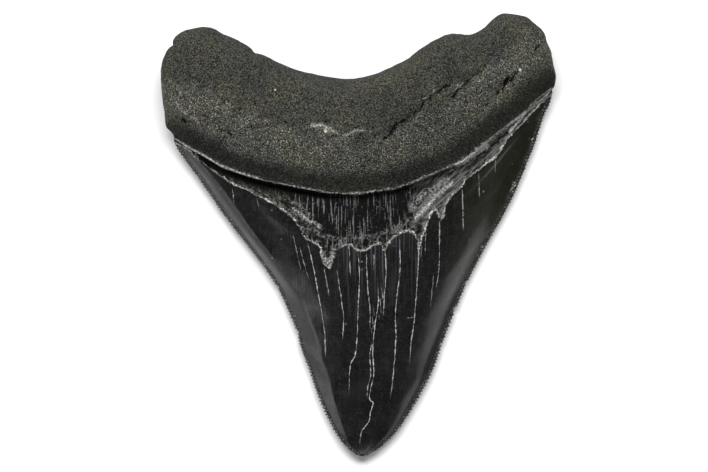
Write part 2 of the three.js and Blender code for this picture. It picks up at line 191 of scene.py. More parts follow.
# White mineral fills the crown's cracks: each crack's route and how strongly it shows.
CROWN_CRACKS = (
    (((-16.2, 0.3), (-14.2, -8.8)), 0.35),
    (((-14.6, -2.6), (-12.4, -10.7)), 0.4),
    (((-12.6, -1.5), (-11.3, -7), (-9.9, -14.5), (-8.7, -21.7), (-8.3, -25), (-8.2, -31)), 0.95),
    (((-8.5, -8), (-7.2, -15)), 0.5),
    (((-5.4, -8), (-4.6, -13), (-4, -17.2), (-3.6, -20.2), (-4, -26.4)), 0.75),
    (((-2.3, -2.2), (-1.9, -10.2)), 0.6),
    (((-0.1, -3.8), (0.3, -10), (0, -17.2), (-0.8, -29.8), (-1.9, -32), (-2.3, -40)), 0.8),
    (((2, -3.8), (2.3, -12.2), (2.9, -18), (3, -23.8)), 0.7),
    (((3.9, -4.5), (3.8, -8.5)), 0.4),
    (((5, -12.5), (5, -16.5), (4.1, -22.5), (3.6, -29.2), (3.9, -34.4), (3.1, -38.2),
      (2.9, -40.8), (3.7, -41.6), (3.1, -43.9), (2.7, -46.2), (0.9, -48.8), (0.5, -50.7),
      (0.3, -53)), 1.0),
    (((3.4, -26.5), (2.9, -29.4), (3.1, -34.2), (2.4, -37.8), (2.2, -40.6)), 0.75),
    (((6.6, -2.2), (6.9, -9.5), (6.5, -14.2), (6.2, -20.2)), 0.7),
    (((10.2, 0.2), (10.4, -8), (9.6, -15), (9.2, -20.2), (9.4, -24.8), (8.7, -34.8),
      (7.9, -41.5)), 0.9),
    (((15.1, 0.2), (14.8, -8.8), (14, -20.2), (13.5, -24), (13, -28.5), (12.9, -32.5)), 0.8),
    (((12.4, -20.4), (14, -20.2)), 0.8),
    (((16.8, 1.5), (16.6, -4.8)), 0.4),
    (((20.2, 4), (20.2, -2.2), (20.1, -8), (19.4, -13.5)), 0.7),
    (((18.8, -9.2), (18, -18)), 0.4),
    (((25.9, 11.6), (26.2, 1.4)), 0.65),
    (((30, 15.8), (30.3, 9.5)), 0.5),
    (((34.3, 19.2), (34.2, 16)), 0.4),
    (((-31.4, 11.8), (-31, 8.3)), 0.5),
    (((-25.3, 9.5), (-24.8, 7.2)), 0.4),
)
# Dark cracks in the root: each one's route and how strongly it shows.
ROOT_CRACKS = (
    (((6.5, 24), (8.6, 26.4), (9.6, 27.4), (12.7, 29.3), (14.9, 31.1), (17.5, 34.1), (20.4, 35.9),
      (24.4, 38.8)), 1.0),
    (((22.6, 33.8), (24.8, 35.9), (27.4, 38.5), (31.4, 41.4)), 0.85),
    (((34.3, 34.8), (36.9, 37.4), (39.5, 40.8)), 1.0),
    (((42.4, 43), (43.4, 44.8), (45.2, 47.8)), 0.9),
    (((-42.6, 29.2), (-40.2, 30.4), (-36.3, 28.1), (-32.6, 25.4), (-30.8, 24)), 0.55),
)
# Pale lines on it.
ROOT_RIDGES = (
    (((-9, 25.9), (-6.4, 25.7), (-3.5, 24.7), (-1.7, 25.7), (1.5, 25.9), (4.4, 25.5)), 0.5),
    (((-45, 33), (-43.3, 30.9), (-41.7, 29.4), (-39.3, 28.8)), 0.55),
    (((15.6, 33.6), (18, 34.9), (19.4, 36.6)), 0.6),
    (((23.5, 35.4), (26, 38.6)), 0.5),
)
# Pits in it: place, length and width of the pit and the direction that it runs in, in degrees.
ROOT_PITS = (
    ((-33.4, 33.1), 0.6, 0.3, 60),
    ((-25.8, 32.6), 0.5, 0.35, 20),
    ((-26.6, 26.9), 0.75, 0.3, -70),
    ((-18, 28), 0.8, 0.32, -25),
    ((-31.8, 25.1), 1.4, 0.3, -38),
    ((-43.4, 28.6), 0.9, 0.5, -45),
    ((-8.1, 28), 0.4, 0.35, 0),
    ((36.9, 38.2), 1.5, 0.7, 55),
    ((34.8, 35.2), 0.5, 0.35, 40),
    ((23.8, 34.6), 0.8, 0.45, 50),
    ((9, 26.5), 0.8, 0.4, 60),
    ((6.8, 24.2), 0.8, 0.4, 10),
    ((32, 32.3), 0.5, 0.3, 30),
    ((42.6, 38), 0.35, 0.3, 0),
    ((29.2, 35.4), 0.4, 0.3, 80),
)
# Pale mineral crust on the band and on the rim: route, how far it reaches, and strength.
CRUSTS = (
    (((-16, 6.6), (-12.8, 4.2), (-9.3, 2.2)), 0.75, 0.72),
    (((-19.5, 9.6), (-15.5, 8.2), (-11.5, 4.8)), 1.0, 0.42),
    (((-13, 2.6), (-9, 0.2), (-4, -1)), 1.0, 0.4),
    (((-3, -0.6), (4, -0.3), (9, 2.2), (13, 4)), 1.1, 0.4),
    (((14.2, 4.4), (17.2, 7.4), (19.4, 10.2), (23.4, 13.2)), 0.85, 0.84),
    (((13.4, 6.8), (15.2, 9.4), (18.6, 11.6), (22.4, 14)), 1.3, 0.55),
    (((24.4, 17.6), (28, 20), (32, 22.8)), 0.7, 0.95),
    (((29, 21.4), (34.4, 25), (38.8, 28.6), (44.3, 33), (47.4, 35.6)), 0.6, 0.75),
    (((37.8, 26), (39.6, 28.2), (41.6, 30.6)), 0.42, 1.3),
    (((-43.4, 22.6), (-38.2, 19.9), (-34, 17.4), (-29.5, 15.7), (-25, 14.4)), 0.5, 0.8),
    (((24, -18.6), (24.6, -17.2)), 0.5, 0.8),
    (((43.4, 24.5), (43.8, 24.1)), 0.4, 0.9),
    (((38.9, 13.3), (39.3, 12.7)), 0.4, 0.9),
    (((38.3, 11.7), (38.8, 11.2)), 0.35, 0.8),
    (((30.9, -2.6), (31.3, -3.2)), 0.4, 0.8),
    (((26.4, 18.2), (29.2, 20.4), (32.4, 22.4)), 0.5, 1.0),
    (((22.4, 16), (26, 18)), 0.4, 0.7),
    (((-8.6, -5.2), (-7.2, -7.4), (-6.2, -4.6)), 0.7, 0.7),
    (((-11.5, 27.1), (-9, 27.2), (-6.4, 25.8)), 0.75, 0.8),
)
# Single grains that stand out on the root: place, radius, and how yellow the grain is.
GRAINS = (
    ((-8.05, 25.8), 0.5, 0.5),
    ((40.1, 41.2), 0.45, 0.0),
    ((-20.5, 36.1), 0.3, 0.5),
)
GROOVE = 0.7  # depth of the groove under the rim's left half
GROOVE_FADES = (2.0, -14.0)  # where it begins and where it is deepest, along x
GROOVE_AT = (-0.65, 0.55)  # its distance from the rim, and its reach
LIP = 0.22  # height of the rim's rounded lip
LIP_AT = (0.4, 0.45)  # the same for the lip
PIT_DEPTH = 0.7
CRACK_DEPTH = 0.35
CRACK_REACH = 0.35
CRACK_OPENS = 0.08  # the share of a crack's length in which it opens
CRACK_CLOSES = 0.85  # and where it begins to close
CRACK_FADE = (0.5, 0.9)  # beside it, where its marking begins to fade and where it ends
CRUST_HEIGHT = 0.12

# Noise in the relief: height, size and seed.
ROOT_ROUGHNESS = ((0.07, 0.9, 1), (0.1, 2.3, 2), (0.12, 5, 3))
BAND_ROUGHNESS = 0.4  # the band's, as a share of the root's
CROWN_WEAR = ((0.05, 6, 4),)
CRUST_GRAIN = (0.8, 5)  # size and seed only

# The materials.
ENAMEL_SHEEN = 0.4
ROOT_SHEEN = 0.05
BUMP_HEIGHT = 0.35 * MM
FLOW_TURNS = (-36.0, 42.0)  # how the band's left and right ends are drawn out, in degrees

# The studio, in metres. Lights: name, place, width and height, and brightness, 1 being white.
LIGHTS = (
    ("key", (0.0, 0.6, 1.0), (1.1, 0.5), 12.5),
    ("front", (0.0, -1.0, 0.5), (0.9, 0.4), 2.2),
    ("left_card", (-0.6, 0.0, 0.14), (0.9, 0.22), 2.4),
    ("right_card", (0.6, 0.0, 0.13), (0.9, 0.2), 0.2),
)
LIGHTS_LOOK_AT = (0, 0, 0.01)
SKY = 0.11  # how bright the faint light from all round is
FLOOR_TONE = 0.86
FLOOR_CORNERS = ((-3, -3, 0), (3, -3, 0), (3, 3, 0), (-3, 3, 0))

# The photograph's frame.
PHOTO_SIZE = (708, 472)
MM_PER_PIXEL = 0.25
PHOTO_ZERO = (358.2, 236.0)  # the pixel where the outline's zero lies
LENS = 230.0
SENSOR = 36.0
SCALE_Z = 6.0  # the height at which the scale holds

# The fine mesh.
COLUMNS = 200
DENSE_SIDES = (0.993, 0.982, 0.965, 0.94)  # columns beside each edge as finely stepped as it
OUTER_SIDE = 0.915  # where the plain columns end
CROWN_ROWS = 150
BAND_ROWS = 34
LEDGE_ROWS = 6
ROOT_ROWS = 78
LEDGE_START = 1.975
LABIAL_STRIDE = 3  # the labial face keeps every third row
EDGE_STEPS = 800  # vertices along each cutting edge
# How much closer columns stand at the sides, and rows at the tip and at the root's ends.
COLUMN_CROWDING = 0.25
TIP_CROWDING = 1.1
ROOT_CROWDING = 0.6


def lerp(a, b, share):
    return a + (b - a) * share


def smooth(x, low, high):
    t = np.clip((x - low) / (high - low), 0, 1)
    return t * t * (3 - 2 * t)


def bell(x, middle, spread):
    return np.exp(-(((x - middle) / spread) ** 2))


def dense_points(points, per_stretch=40):
    """Points along the smooth centripetal curve through the given ones."""
    p = np.array(points, float)
    p = np.vstack((2 * p[0] - p[1], p, 2 * p[-1] - p[-2]))
    steps = np.linspace(0, 1, per_stretch, endpoint=False)[:, None]
    rows = []
    for a, b, c, d in zip(p, p[1:], p[2:], p[3:]):
        ab, bc, cd = (math.dist(*pair) ** 0.5 for pair in ((a, b), (b, c), (c, d)))
        start = ((b - a) / ab - (c - a) / (ab + bc) + (c - b) / bc) * bc
        end = ((c - b) / bc - (d - b) / (bc + cd) + (d - c) / cd) * bc
        square = -3 * b + 3 * c - 2 * start - end
        cube = 2 * b - 2 * c + start + end
        rows.append(b + start * steps + square * steps**2 + cube * steps**3)
    rows.append(p[-2][None])
    return np.vstack(rows)


def curve_through(points):
    """A function from a share of the curve's length to the point there."""
    dense = dense_points(points)
    length = np.concatenate(([0], np.cumsum(np.linalg.norm(np.diff(dense, axis=0), axis=1))))
    length /= length[-1]

    def at(share):
        return np.stack([np.interp(share, length, dense[:, axis]) for axis in (0, 1)], axis=-1)

    return at


def zone_between(lower, upper, left, right):
    """Blends a stretch of the plan from its four sides, as the solid does."""
    low, high, west, east = (curve_through(points) for points in (lower, upper, left, right))

    def at(across, up):
        a, u = across[:, None], up[:, None]
        mixed = lerp(low(across), high(across), u)
        sides = lerp(west(up), east(up), a)
        starts = lerp(low(0.0), high(0.0), u)
        ends = lerp(low(1.0), high(1.0), u)
        return mixed + sides - lerp(starts, ends, a)

    return at


ZONES = (
    zone_between(TIP, ENAMEL_EDGE, LEFT_BLADE, RIGHT_BLADE),
    zone_between(ENAMEL_EDGE, ROOT_RIM, LEFT_GAP, RIGHT_GAP),
    zone_between(ROOT_RIM, BASAL, LEFT_LOBE, RIGHT_LOBE),
)


def place_at(side, rise):
    """The place in plan: side runs from -1 to 1, and rise is 0 at the tip, 1 at the enamel's
    edge, 2 at the root's rim and 3 at the root's top."""
    place = np.empty((len(side), 2))
    zone = np.minimum(rise.astype(int), len(ZONES) - 1)
    for number, zone_at in enumerate(ZONES):
        here = zone == number
        place[here] = zone_at((side[here] + 1) / 2, rise[here] - number)
    return place


def share_of(rise, zone):
    return np.clip(rise - zone, 0, 1)


def outline_z(side, rise):
    crown = share_of(rise, 0)
    blade = BLADE_Z + (TIP_Z - BLADE_Z) * (1 - crown) ** TIP_FALL
    shoulder = (SHOULDER_Z - BLADE_Z) * crown**SHOULDER_RISE
    foot = (ROOT_FOOT_Z - SHOULDER_Z) * share_of(rise, 1)
    notch = BASAL_RISE * share_of(rise, 2) * np.maximum(1 - (side / NOTCH_WIDTH) ** 2, 0)
    root = (LOBE_Z - ROOT_FOOT_Z) * smooth(share_of(rise, 2), 0, LOBE_START)
    return blade + shoulder + foot + root + notch


def dome(side, rise):
    """The crown's section: a bevel along each cutting edge, and a dome that joins the two.
    Its corners are softened, most of all towards the shoulders."""
    soft = np.minimum(lerp(*CORNER, share_of(rise, 0)), 1 - np.abs(side))
    steps = np.linspace(-1, 1, 7)
    return sum(sharp_dome(side + step * soft, rise) for step in steps) / len(steps)


def sharp_dome(side, rise):
    crown = share_of(rise, 0)
    edge = (side >= 0).astype(int)
    start = lerp(np.take(TIP_BEVEL, edge), np.take(BASE_BEVEL, edge), crown)
    slope = lerp(np.take(TIP_SLOPE, edge), np.take(BASE_SLOPE, edge), crown)
    inward = np.abs(side) / start
    hollow = 1 + HEEL_HOLLOW * smooth(rise, HEEL_FROM, HEEL_TO)
    rounded = np.maximum(1 - inward**2, 0) ** hollow
    return np.where(inward > 1, slope * (1 - np.abs(side)), lerp(slope * (1 - start), 1, rounded))


def swell(side):
    return np.sqrt(1 - np.abs(side) ** ROOT_FILL)


def basal_round(rise):
    over = np.maximum((share_of(rise, 2) - 1) / BASAL_ROUND + 1, 0)
    return np.sqrt(1 - over**BASAL_FILL)


def beside(place, routes):
    """The greatest value at each place of routes that fade out on both sides."""
    greatest = np.zeros(len(place))
    for route, reach, value in routes:
        away = np.abs(distance_to(place, route)[0])
        greatest = np.maximum(greatest, value * bell(away, 0, reach))
    return greatest


def lumps(place):
    x, y = place.T
    return sum(share * np.sin(wx * x + wy * y + phase) for share, wx, wy, phase in LUMP_WAVES)


def distance_to(place, route):
    """Millimetres from each place to a route, negative on the right-hand side as it runs, and
    how far along the route the nearest point is, from 0 to 1."""
    route = np.array(route, float)
    spans = np.linalg.norm(np.diff(route, axis=0), axis=1)
    reached = np.concatenate(([0], np.cumsum(spans)))
    best = np.full(len(place), np.inf)
    side = np.ones(len(place))
    along = np.zeros(len(place))
    for number, (start, end) in enumerate(zip(route, route[1:])):
        run = end - start
        offset = place - start
        t = np.clip(offset @ run / (run @ run), 0, 1)
        away = np.linalg.norm(offset - t[:, None] * run, axis=1)
        closer = away < best
        best[closer] = away[closer]
        turn = run[0] * offset[:, 1] - run[1] * offset[:, 0]
        side[closer] = np.where(turn[closer] < 0, -1, 1)
        along[closer] = ((reached[number] + t * spans[number]) / reached[-1])[closer]
    return best * side, along


def above_line(place, line):
    """Millimetres from each place to a line that crosses the tooth, positive on the root's side
    of it, whatever tongues the line has."""
    line = np.array(line, float)
    near = np.abs(distance_to(place, line)[0])
    far = 300.0
    ring = np.vstack((line[0] + (-far, 0), line, line[-1] + (far, 0), (far, far), (-far, far)))
    x, y = place.T
    inside = np.zeros(len(place), bool)
    for (x0, y0), (x1, y1) in zip(ring, np.roll(ring, -1, axis=0)):
        crosses = (y0 > y) != (y1 > y)
        with np.errstate(divide="ignore", invalid="ignore"):
            inside ^= crosses & (x < (x1 - x0) * (y - y0) / (y1 - y0) + x0)
    return np.where(inside, near, -near)


def value_noise(points, size, seed):
    """Smooth noise from -1 to 1, with lumps about size millimetres across."""
    cells = 32
    lattice = np.random.default_rng(SEED + seed).uniform(-1, 1, (cells, cells, cells))
    scaled = points / size
    low = np.floor(scaled).astype(int)
    blend = scaled - low
    blend = blend * blend * (3 - 2 * blend)
    total = np.zeros(len(points))
    for corner in itertools.product((0, 1), repeat=3):
        weight = np.prod(np.where(corner, blend, 1 - blend), axis=1)
        total += weight * lattice[tuple(((low + corner) % cells).T)]
    return total


def lingual_z(side, rise, place, enamel):
    """Heights of the domed face. enamel is each place's distance above the enamel's edge."""
    edge = outline_z(side, rise)
    crown = (1 - (1 - share_of(rise, 0)) ** RIDGE_LEVEL) ** RIDGE_START
    top = lerp(TIP_Z, CROWN_TOP_Z, crown) + (BAND_TOP_Z - CROWN_TOP_Z) * share_of(rise, 1)
    in_band = smooth(enamel, -0.1, 0.3) * (1 - side**BAND_FILL)
    smooth_skin = edge + (top - edge) * dome(side, rise) - ENAMEL_STEP * in_band

    up = share_of(rise, 2)
    rim = edge + (BAND_TOP_Z - edge) * dome(side, rise) + RIM_STEP * (1 - side**RIM_FILL)
    drop = BASAL_DROP * np.maximum((up - CREST) / (1 - CREST), 0) ** DROP_BEND
    crest = LOBE_TOP_Z + (ROOT_TOP_Z - drop - LOBE_TOP_Z) * bell(side, 0, CREST_WIDTH)
    full = edge + (crest - edge) * swell(side)
    roll_over = ((1 - np.cos(math.pi * np.minimum(up / CREST, 1))) / 2) ** ROLL_START
    lumpy = LUMP * lumps(place) - beside(place, ROOT_HOLLOWS)
    lumpy = lumpy * roll_over * (1 - side**RELIEF_FILL)
    root = edge + (lerp(rim, full, roll_over) + lumpy - edge) * basal_round(rise)

    ledge = smooth(rise, LEDGE_START, 2)
    return lerp(smooth_skin, root, ledge)


def labial_z(side, rise):
    """Heights of the flatter face underneath."""
    edge = outline_z(side, rise)
    rootness = smooth(rise, 1, 2.2)
    tip_rise = (TIP_Z - LABIAL_LIFT) * (1 - share_of(rise, 0)) ** FACE_FALL
    up, across = CROWN_SPOT_AT
    crown_spot = CROWN_SPOT * bell(rise, *up) * bell(side, *across)
    up, across = LOBE_SPOT_AT
    lobe_spot = LOBE_SPOT * bell(share_of(rise, 2), *up) * bell(np.abs(side), *across)
    face = LABIAL_LIFT + tip_rise - crown_spot - lobe_spot * share_of(rise, 1)
    blade = 1 - np.abs(side) ** BLADE_FILL
    section = lerp(blade, swell(side), rootness) * basal_round(rise)
    return np.maximum(edge - (edge - face) * section, 0)


class Skin:
    """The tooth's vertices and faces, before they become a mesh. side and rise place each
    vertex, and sheet is 0 on the lingual face and 1 on the labial one."""

    def __init__(self):
        self.vertices, self.faces = [], []

    def add_column(self, side, rises, sheet=0):
        self.vertices += [(side, rise, sheet) for rise in rises]
        return np.arange(len(self.vertices) - len(rises), len(self.vertices))

    def join(self, left, right, face_up):
        """Quads between two columns of (ids, rises) with the same rows, else triangles."""
        (left_ids, left_rises), (right_ids, right_rises) = left, right
        if len(left_ids) == len(right_ids):
            corners = (left_ids[:-1], right_ids[:-1], right_ids[1:], left_ids[1:])
            self.faces += np.stack(corners if face_up else corners[::-1], axis=1).tolist()
            return
        a = b = 0
        while a < len(left_ids) - 1 or b < len(right_ids) - 1:
            right_done = b == len(right_ids) - 1
            left_left = a < len(left_ids) - 1
            step_left = right_done or (left_left and left_rises[a + 1] <= right_rises[b + 1])
            third = left_ids[a + 1] if step_left else right_ids[b + 1]
            corners = [int(left_ids[a]), int(right_ids[b]), int(third)]
            self.faces.append(corners if face_up else corners[::-1])
            a += step_left
            b += not step_left


def row_rises():
    crown = np.linspace(0, 1, CROWN_ROWS, endpoint=False) ** TIP_CROWDING
    band = np.linspace(1, LEDGE_START, BAND_ROWS, endpoint=False)
    ledge = np.linspace(LEDGE_START, 2, LEDGE_ROWS, endpoint=False)
    even = np.linspace(0, 1, ROOT_ROWS)
    root = 2 + lerp(even, (1 - np.cos(math.pi * even)) / 2, ROOT_CROWDING)
    return np.concatenate((crown, band, ledge, root))


def build_skin():
    skin = Skin()
    rises = row_rises()
    few = np.concatenate((rises[:1], rises[1:-1:LABIAL_STRIDE], rises[-1:]))
    edge_rises = np.concatenate((np.linspace(0, 1, EDGE_STEPS, endpoint=False), rises[rises >= 1]))
    left = (skin.add_column(-1, edge_rises), edge_rises)
    right = (skin.add_column(1, edge_rises), edge_rises)
    even = np.linspace(-1, 1, COLUMNS)
    plain = OUTER_SIDE * lerp(even, np.sin(math.pi * even / 2), COLUMN_CROWDING)
    dense = np.array(DENSE_SIDES)
    columns = [(side, edge_rises, edge_rises) for side in -dense]
    columns += [(side, rises, few) for side in plain]
    columns += [(side, edge_rises, edge_rises) for side in dense[::-1]]
    upper, lower = [], []
    for side, over, under in columns:
        ids = skin.add_column(side, over)
        middle = skin.add_column(side, under[1:-1], sheet=1)
        upper.append((ids, over))
        lower.append((np.concatenate((ids[:1], middle, ids[-1:])), under))
    for joined, face_up in (([left, *upper, right], True), ([left, *lower, right], False)):
        for near, far in zip(joined, joined[1:]):
            skin.join(near, far, face_up)
    skin.side, skin.rise, skin.sheet = np.array(skin.vertices, float).T
    return skin


def serrations(skin, place, edge, alongs):
    """Moves the vertices by the cutting edges in and out: rounded knobs with sharp notches.
    Returns how many knobs lie between the tip and each vertex, with the part of its own."""
    rng = np.random.default_rng(SEED)
    number = np.zeros(len(place))
    for side, blade, along in zip((-1, 1), (LEFT_BLADE, RIGHT_BLADE), alongs):
        here = (skin.side * side > 0) & (skin.rise < 1)
        rise = along[here]
        dense = dense_points(blade)
        length = np.linalg.norm(np.diff(dense, axis=0), axis=1).sum()
        count = int(length / SERRATION_PITCH) + SPARE_KNOBS
        pitches = SERRATION_PITCH * rng.uniform(*PITCH_SPREAD, count)
        notches = np.concatenate(([0], np.cumsum(pitches)))
        at = rise * length
        knob = np.searchsorted(notches, at, side="right") - 1
        phase = (at - notches[knob]) / pitches[knob]
        number[here] = knob + phase
        size = rng.uniform(*SIZE_SPREAD, count)[knob]
        lift = np.sin(math.pi * phase) - KNOB_LEVEL
        fade = smooth(rise, *TIP_FADE) * (1 - smooth(rise, *SHOULDER_FADE))
        curve = curve_through(blade)
        step = 0.002
        ahead = curve(np.minimum(rise + step, 1)) - curve(np.maximum(rise - step, 0))
        outward = np.stack((ahead[:, 1], -ahead[:, 0]), axis=1) * side
        outward /= np.linalg.norm(outward, axis=1)[:, None]
        moved = SERRATION_DEPTH * lift * size * fade
        near = np.clip(1 - edge[here] / SERRATION_REACH, 0, 1)
        for chip, depth, reach in CHIPS:
            moved -= depth * bell(np.linalg.norm(place[here] - chip, axis=1), 0, reach)
        place[here] += outward * (moved * near)[:, None]
    return number


def vertex_normals(points, faces):
    normals = np.zeros_like(points)
    for corners in (3, 4):
        some = np.array([face for face in faces if len(face) == corners])
        ring = points[some]
        face_normal = np.cross(ring[:, 2] - ring[:, 0], ring[:, -1] - ring[:, 1])
        for column in some.T:
            np.add.at(normals, column, face_normal)
    return normals / np.maximum(np.linalg.norm(normals, axis=1), 1e-12)[:, None]


def nearest_cracks(place, cracks, halves):
    """The signed distance to the nearest crack of each half of the list, and how strongly it
    shows there. Neighbouring cracks are in different halves, so their distances don't meet."""
    result = []
    for half in range(halves):
        distance = np.full(len(place), 9.0)  # farther off than a crack shows
        strength = np.zeros(len(place))
        for route, shows in cracks[half::halves]:
            smooth_route = dense_points(route, 6) if len(route) > 2 else route
            away, along = distance_to(place, smooth_route)
            ends = smooth(along, 0, CRACK_OPENS) * (1 - smooth(along, CRACK_CLOSES, 1))
            closer = np.abs(away) < np.abs(distance)
            distance[closer] = away[closer]
            fade = 1 - smooth(np.abs(away), *CRACK_FADE)
            strength[closer] = (shows * ends * fade)[closer]
        result.append((distance, strength))
    return result


def pits(place):
    """How deep inside a pit each place lies, from 0 to 1."""
    deepest = np.zeros(len(place))
    for middle, long, wide, turn in ROOT_PITS:
        angle = math.radians(turn)
        run = np.array((math.cos(angle), math.sin(angle)))
        offset = place - middle
        along = offset @ run / long
        across = (offset[:, 1] * run[0] - offset[:, 0] * run[1]) / wide
        deepest = np.maximum(deepest, np.exp(-((along**2 + across**2) ** 2)))
    return deepest


def mirrored(cracks):
    """The cracks of the face that the photograph doesn't show: in other places, and weaker."""
    return [
        ([(1.5 - 0.9 * x, y + 8) for x, y in route], 0.7 * shows) for route, shows in cracks
    ]


def line_marks(skin, place):
    """Which vertices are on the lingual face, and how far each one is above the enamel's edge
    and above the rim."""
    lingual = skin.sheet == 0
    under = above_line(place, LABIAL_ENAMEL)
    return {
        "lingual": lingual,
        "enamel": np.where(lingual, above_line(place, RAGGED_ENAMEL), under),
        "rim": np.where(lingual, above_line(place, dense_points(ROOT_RIM, 8)), under),
    }


def route_marks(place, lingual):
    """Pits, crusts, and for cracks and ridges the distance and how strongly they show."""
    marks = {"pit": pits(place) * lingual, "crust": beside(place, CRUSTS) * lingual}
    for name, routes in (("root_crack", ROOT_CRACKS), ("ridge", ROOT_RIDGES)):
        distance, shows = nearest_cracks(place, routes, 1)[0]
        marks[name] = distance
        marks[f"{name}_shows"] = shows * lingual
    over = nearest_cracks(place, CROWN_CRACKS, 2)
    under = nearest_cracks(place, mirrored(CROWN_CRACKS), 2)
    for name, upper, lower in zip(("crack_a", "crack_b"), over, under):
        marks[name], marks[f"{name}_shows"] = np.where(lingual, upper, lower)
    return marks


def heights(skin, place, enamel):
    z = np.where(
        skin.sheet == 0,
        lingual_z(skin.side, skin.rise, place, enamel),
        labial_z(skin.side, skin.rise),
    )
    on_outline = (np.abs(skin.side) == 1) | (skin.rise == 0) | (skin.rise == 3)
    return np.where(on_outline, outline_z(skin.side, skin.rise), z)


def noise_sum(points, noises):
    return sum(height * value_noise(points, size, seed) for height, size, seed in noises)


def relief(skin, place, points, marks):
    """How far the fine relief lifts each vertex off the smooth skin."""
    rim = marks["rim"]
    rough = noise_sum(points, ROOT_ROUGHNESS)
    worn = noise_sum(points, CROWN_WEAR) * (1 - bell(np.abs(skin.side), 1, 0.05))
    rootness = smooth(rim, -0.2, 0.6)
    band = smooth(marks["enamel"], 0, 0.4) * (1 - rootness)
    lift = rough * rootness + BAND_ROUGHNESS * rough * band + worn * (1 - rootness - band)
    fade = marks["lingual"] * (1 - np.abs(skin.side) ** BAND_FILL)
    groove = GROOVE * smooth(place[:, 0], *GROOVE_FADES)
    lift += fade * (LIP * bell(rim, *LIP_AT) - groove * bell(rim, *GROOVE_AT))
    crack = CRACK_DEPTH * marks["root_crack_shows"] * bell(marks["root_crack"], 0, CRACK_REACH)
    lift -= fade * (PIT_DEPTH * marks["pit"] + crack)
    return lift + CRUST_HEIGHT * marks["crust"] * (1 + value_noise(points, *CRUST_GRAIN))


def add_object(name, data):
    obj = bpy.data.objects.new(name, data)
    bpy.context.collection.objects.link(obj)
    return obj


def tooth_object(points, faces, marks):
    """The mesh, with its marks as attributes and the duller material above the enamel's edge."""
    mesh = bpy.data.meshes.new("tooth_skin")
    mesh.from_pydata((points * MM).tolist(), [], faces)
    for name, values in marks.items():
        layer = mesh.attributes.new(name, "FLOAT", "POINT")
        layer.data.foreach_set("value", values.astype(np.float32))
    mesh.polygons.foreach_set("use_smooth", np.ones(len(mesh.polygons), bool))
    mesh.materials.append(fossil_material("enamel", ENAMEL_SHEEN))
    mesh.materials.append(fossil_material("root", ROOT_SHEEN))
    dull = [int(np.mean(marks["enamel"][face]) > 0) for face in faces]
    mesh.polygons.foreach_set("material_index", dull)
    mesh.update()
    return add_object("tooth_skin", mesh)


def make_tooth():
    skin = build_skin()
    place = place_at(skin.side, skin.rise)
    marks = line_marks(skin, place)
    z = heights(skin, place, marks["enamel"])
    blades = [distance_to(place, dense_points(blade, 8)) for blade in (LEFT_BLADE, RIGHT_BLADE)]
    marks["edge"] = np.min(np.abs([away for away, _ in blades]), axis=0)
    marks["knobs"] = serrations(skin, place, marks["edge"], [along for _, along in blades])
    marks.update(route_marks(place, marks["lingual"]))
    points = np.column_stack((place, z))
    points += vertex_normals(points, skin.faces) * relief(skin, place, points, marks)[:, None]
    points[:, 2] = np.maximum(points[:, 2], 0)
    points[:, :2] -= outline_middle()
    return tooth_object(points, skin.faces, marks)


def outline_middle():
    """The middle of the outline's box, which is the solid's origin in plan."""
    stretches = (TIP, LEFT_BLADE, RIGHT_BLADE, LEFT_LOBE, RIGHT_LOBE, BASAL)
    points = np.vstack([dense_points(stretch) for stretch in stretches])
    return (points.min(axis=0) + points.max(axis=0)) / 2


